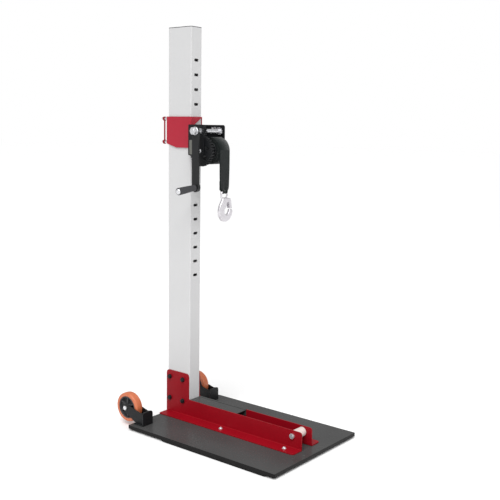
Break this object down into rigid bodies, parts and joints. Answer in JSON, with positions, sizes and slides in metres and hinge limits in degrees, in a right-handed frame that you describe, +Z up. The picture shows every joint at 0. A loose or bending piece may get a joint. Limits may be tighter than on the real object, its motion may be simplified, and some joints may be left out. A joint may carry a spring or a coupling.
{
  "type": "winch lifting post",
  "caption": "Free-standing lifting post: slotted column on a flat base, sliding collar with geared hand winch, strap and snap hook, front roller channel and rear casters.",
  "frame": {"origin": "middle of the footprint, on the floor under the runners", "axes": "+Z up along the column, -Y towards the front of the base plate, +X to the right seen from the front"},
  "size_m": [0.433, 0.686, 1.3056],
  "materials": {
    "red_paint": "glossy powder coat",
    "black_paint": "satin powder coat",
    "grey_paint": "satin light grey powder coat",
    "zinc": "bright zinc plating",
    "nylon": "cream moulded nylon",
    "polyurethane": "orange moulded polyurethane",
    "black_plastic": "moulded black plastic",
    "webbing": "woven polyester webbing"
  },
  "bodies": {
    "base": {"base_plate": "black_paint", "runner_left": "black_paint", "runner_right": "black_paint", "side_plate_left": "red_paint", "side_plate_right": "red_paint", "column": "grey_paint", "column_cap": "black_plastic", "cover_plate": "black_paint", "column_bolt_1": "black_paint", "column_bolt_2": "black_paint", "column_bolt_3": "black_paint", "column_bolt_4": "black_paint", "column_nut_1": "black_paint", "column_nut_2": "black_paint", "column_nut_3": "black_paint", "column_nut_4": "black_paint", "flange_screw_1": "zinc", "flange_screw_2": "zinc", "flange_screw_3": "zinc", "flange_screw_4": "zinc", "roller_axle": "zinc", "roller_nut": "zinc", "caster_bracket_left": "black_paint", "caster_bracket_right": "black_paint", "caster_fork_left": "black_paint", "caster_fork_right": "black_paint", "caster_axle_left": "zinc", "caster_axle_right": "zinc"},
    "front_roller": {"roller": "nylon"},
    "caster_wheel_left": {"caster_core_left": "black_plastic", "caster_tyre_left": "polyurethane"},
    "caster_wheel_right": {"caster_core_right": "black_plastic", "caster_tyre_right": "polyurethane"},
    "collar": {"collar_body": "red_paint", "keeper_plate": "red_paint", "handle_bar": "red_paint", "handle_stud_low": "zinc", "handle_stud_high": "zinc", "handle_nut_low": "zinc", "handle_nut_high": "zinc", "winch_frame": "black_paint", "frame_bolt_low": "zinc", "frame_bolt_high": "zinc"},
    "winch_drum": {"drum": "black_paint", "drum_gear": "black_paint", "strap_roll": "webbing"},
    "crank": {"crank_shaft": "zinc", "pinion": "black_paint", "ratchet_sleeve": "zinc", "crank_arm": "black_paint", "crank_nut": "zinc", "grip_pin": "zinc"},
    "grip": {"crank_grip": "black_plastic"},
    "ratchet_pawl": {"pawl": "zinc"},
    "strap_end": {"strap_tail": "webbing"},
    "snap_hook": {"hook": "zinc"},
    "latch": {"hook_latch": "zinc"}
  },
  "joints": [
    {"name": "collar_height", "type": "slide", "parent": "base", "child": "collar", "axis": [0, 0, 1], "range_m": [-0.4194, 0.233]},
    {"name": "drum_turn", "type": "hinge", "parent": "collar", "child": "winch_drum", "pos_m": [0, 0.106, 0.9135], "axis": [-1, 0, 0], "range_deg": [-234, 65]},
    {"name": "crank_turn", "type": "hinge", "parent": "collar", "child": "crank", "pos_m": [0, 0.106, 0.9765], "axis": [-1, 0, 0], "range_deg": [-184, 660]},
    {"name": "hook_lift", "type": "slide", "parent": "collar", "child": "strap_end", "axis": [0, 0, 1], "range_m": [-0.18, 0.05], "deforming": ["strap_tail"]},
    {"name": "hook_swing", "type": "hinge", "parent": "strap_end", "child": "snap_hook", "pos_m": [0.027, 0.0634, 0.7845], "axis": [1, 0, 0], "range_deg": [-40, 40]},
    {"name": "latch_open", "type": "hinge", "parent": "snap_hook", "child": "latch", "pos_m": [0.048, 0.0634, 0.756], "axis": [0, 1, 0], "range_deg": [0, 25], "stiffness_Nm_per_rad": 0.02, "springref_deg": -28.65},
    {"name": "grip_spin", "type": "hinge", "parent": "crank", "child": "grip", "pos_m": [-0.0635, 0.106, 0.7982], "axis": [0.9936, 0, 0.1132], "continuous": true},
    {"name": "pawl_lift", "type": "hinge", "parent": "collar", "child": "ratchet_pawl", "pos_m": [0.05, 0.134, 0.984], "axis": [-1, 0, 0], "range_deg": [0, 25], "stiffness_Nm_per_rad": 0.05, "springref_deg": -22.92},
    {"name": "roller_spin", "type": "hinge", "parent": "base", "child": "front_roller", "pos_m": [0, -0.2685, 0.0585], "axis": [1, 0, 0], "continuous": true},
    {"name": "caster_spin_left", "type": "hinge", "parent": "base", "child": "caster_wheel_left", "pos_m": [-0.176, 0.294, 0.063], "axis": [1, 0, 0], "continuous": true},
    {"name": "caster_spin_right", "type": "hinge", "parent": "base", "child": "caster_wheel_right", "pos_m": [0.154, 0.294, 0.063], "axis": [1, 0, 0], "continuous": true}
  ],
  "couplings": [
    {"joint": "crank_turn", "follows": "drum_turn", "ratio": -2.8182},
    {"joint": "hook_lift", "follows": "drum_turn", "m_per_rad": 0.0438}
  ]
}
